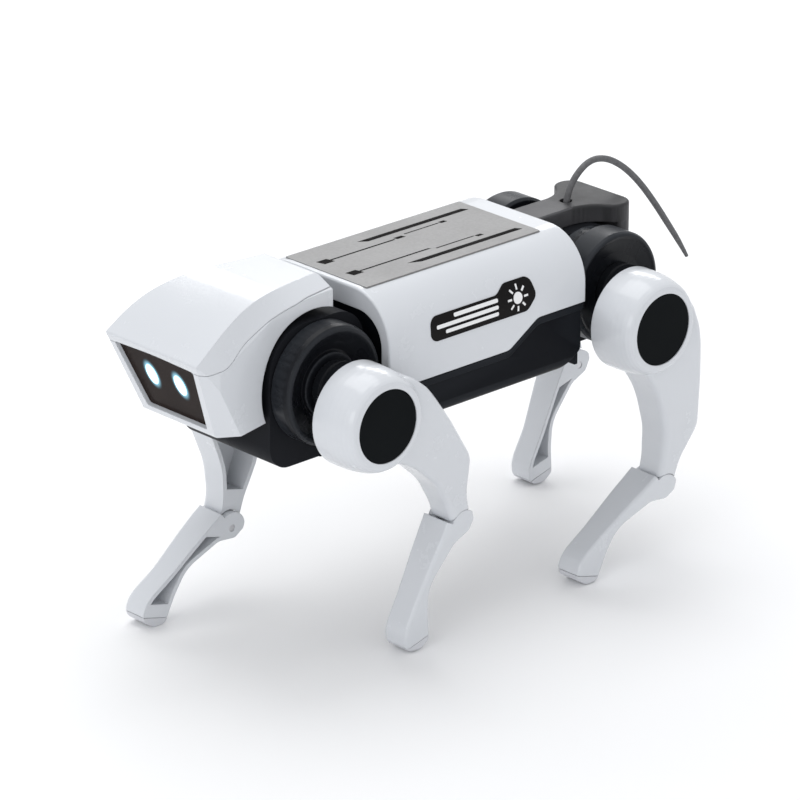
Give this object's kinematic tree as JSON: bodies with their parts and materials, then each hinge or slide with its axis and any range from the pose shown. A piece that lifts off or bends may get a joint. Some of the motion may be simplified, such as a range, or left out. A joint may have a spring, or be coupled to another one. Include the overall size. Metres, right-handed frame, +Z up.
{
  "type": "four-legged walking robot kit",
  "caption": "Four-legged walking robot with a white shell, grey back panel, faceted head with lit eyes, black hip drums, jointed legs and a wire tail.",
  "frame": {"origin": "centre of the footprint on the ground under the robot, without its tail", "axes": "+Z up, the robot faces -Y, its left side is +X"},
  "size_m": [0.1058, 0.2469, 0.1334],
  "materials": {
    "white_shell": "glossy moulded plastic",
    "foot_sole": "satin",
    "panel_grey": "laminated panel",
    "panel_traces": "dark traces",
    "badge_black": "satin print",
    "badge_white": "satin print",
    "black_tray": "fine satin",
    "face_dark": "smoked gloss",
    "eye_glow": "lit lens",
    "board_green": "circuit board",
    "cell_wrap": "wrapped cell",
    "steel": "brushed",
    "gear_plastic": "natural nylon",
    "black_drum": "satin",
    "black_hub": "gloss",
    "black_cap": "smooth",
    "black_gearbox": "fine texture",
    "dark_cover": "satin",
    "tail_grey": "sleeved wire"
  },
  "bodies": {
    "robot_body": {"badge_marks": "badge_white", "battery_cells": "cell_wrap", "battery_contacts": "steel", "battery_door": "black_tray", "body_shell": "white_shell", "chassis_screws": "steel", "chassis_tray": "black_tray", "circuit_board": "board_green", "eye_board": "board_green", "eye_lenses": "eye_glow", "face_plate": "face_dark", "front_gearbox_left": "black_gearbox", "front_gearbox_right": "black_gearbox", "front_motor": "steel", "gear_axles": "steel", "head_side_shell": "white_shell", "head_top_shell": "white_shell", "hip_drum_front_left": "black_drum", "hip_drum_front_right": "black_drum", "hip_drum_rear_left": "black_drum", "hip_drum_rear_right": "black_drum", "panel_traces": "panel_traces", "rear_gearbox_left": "black_gearbox", "rear_gearbox_right": "black_gearbox", "rear_motor": "steel", "rear_top_cover": "dark_cover", "side_badges": "badge_black", "solar_panel": "panel_grey", "tail": "tail_grey"},
    "upper_leg_front_left": {"hip_hub_front_left": "black_hub", "thigh_front_left": "white_shell", "thigh_cap_front_left": "black_cap"},
    "lower_leg_front_left": {"shin_front_left": "white_shell", "foot_pad_front_left": "foot_sole", "knee_pin_front_left": "steel"},
    "upper_leg_front_right": {"hip_hub_front_right": "black_hub", "thigh_front_right": "white_shell", "thigh_cap_front_right": "black_cap"},
    "lower_leg_front_right": {"shin_front_right": "white_shell", "foot_pad_front_right": "foot_sole", "knee_pin_front_right": "steel"},
    "upper_leg_rear_left": {"hip_hub_rear_left": "black_hub", "thigh_rear_left": "white_shell", "thigh_cap_rear_left": "black_cap"},
    "lower_leg_rear_left": {"shin_rear_left": "white_shell", "foot_pad_rear_left": "foot_sole", "knee_pin_rear_left": "steel"},
    "upper_leg_rear_right": {"hip_hub_rear_right": "black_hub", "thigh_rear_right": "white_shell", "thigh_cap_rear_right": "black_cap"},
    "lower_leg_rear_right": {"shin_rear_right": "white_shell", "foot_pad_rear_right": "foot_sole", "knee_pin_rear_right": "steel"},
    "front_crank": {"front_crank_gear": "gear_plastic"},
    "front_compound": {"front_compound_gear": "gear_plastic"},
    "front_pinion": {"front_pinion": "gear_plastic"},
    "rear_crank": {"rear_crank_gear": "gear_plastic"},
    "rear_compound": {"rear_compound_gear": "gear_plastic"},
    "rear_pinion": {"rear_pinion": "gear_plastic"},
    "power_switch": {"power_switch_slider": "black_hub"}
  },
  "joints": [
    {"name": "hip_front_left", "type": "hinge", "parent": "robot_body", "child": "upper_leg_front_left", "pos_m": [0, -0.06373, 0.09777], "axis": [1, 0, 0], "range_deg": [-33, 3]},
    {"name": "hip_front_right", "type": "hinge", "parent": "robot_body", "child": "upper_leg_front_right", "pos_m": [0, -0.06373, 0.09777], "axis": [1, 0, 0], "range_deg": [-3, 33]},
    {"name": "hip_rear_left", "type": "hinge", "parent": "robot_body", "child": "upper_leg_rear_left", "pos_m": [0, 0.06627, 0.09777], "axis": [1, 0, 0], "range_deg": [-3, 33]},
    {"name": "hip_rear_right", "type": "hinge", "parent": "robot_body", "child": "upper_leg_rear_right", "pos_m": [0, 0.06627, 0.09777], "axis": [1, 0, 0], "range_deg": [-33, 3]},
    {"name": "knee_front_left", "type": "hinge", "parent": "upper_leg_front_left", "child": "lower_leg_front_left", "pos_m": [0, -0.01934, 0.0403], "axis": [1, 0, 0], "range_deg": [-2, 15]},
    {"name": "knee_front_right", "type": "hinge", "parent": "upper_leg_front_right", "child": "lower_leg_front_right", "pos_m": [0, -0.05402, 0.02581], "axis": [1, 0, 0], "range_deg": [-2, 15]},
    {"name": "knee_rear_left", "type": "hinge", "parent": "upper_leg_rear_left", "child": "lower_leg_rear_left", "pos_m": [0, 0.07598, 0.02581], "axis": [1, 0, 0], "range_deg": [-2, 15]},
    {"name": "knee_rear_right", "type": "hinge", "parent": "upper_leg_rear_right", "child": "lower_leg_rear_right", "pos_m": [0, 0.11066, 0.0403], "axis": [1, 0, 0], "range_deg": [-2, 15]},
    {"name": "front_crank_spin", "type": "hinge", "parent": "robot_body", "child": "front_crank", "pos_m": [0, -0.06373, 0.08677], "axis": [1, 0, 0], "continuous": true},
    {"name": "front_compound_spin", "type": "hinge", "parent": "robot_body", "child": "front_compound", "pos_m": [0, -0.05912, 0.09785], "axis": [1, 0, 0], "continuous": true},
    {"name": "front_pinion_spin", "type": "hinge", "parent": "robot_body", "child": "front_pinion", "pos_m": [0, -0.06373, 0.10627], "axis": [1, 0, 0], "continuous": true},
    {"name": "rear_crank_spin", "type": "hinge", "parent": "robot_body", "child": "rear_crank", "pos_m": [0, 0.06627, 0.08677], "axis": [1, 0, 0], "continuous": true},
    {"name": "rear_compound_spin", "type": "hinge", "parent": "robot_body", "child": "rear_compound", "pos_m": [0, 0.06166, 0.09785], "axis": [1, 0, 0], "continuous": true},
    {"name": "rear_pinion_spin", "type": "hinge", "parent": "robot_body", "child": "rear_pinion", "pos_m": [0, 0.06627, 0.10627], "axis": [1, 0, 0], "continuous": true},
    {"name": "power_switch_slide", "type": "slide", "parent": "robot_body", "child": "power_switch", "axis": [0, 1, 0], "range_m": [0, 0.0034]}
  ],
  "couplings": [
    {"joint": "front_compound_spin", "follows": "front_crank_spin", "ratio": -3},
    {"joint": "front_pinion_spin", "follows": "front_crank_spin", "ratio": 9},
    {"joint": "rear_compound_spin", "follows": "rear_crank_spin", "ratio": -3},
    {"joint": "rear_pinion_spin", "follows": "rear_crank_spin", "ratio": 9},
    {"joint": "hip_front_right", "follows": "hip_front_left", "ratio": -1},
    {"joint": "hip_rear_left", "follows": "hip_front_left", "ratio": -1},
    {"joint": "hip_rear_right", "follows": "hip_front_left", "ratio": 1}
  ]
}
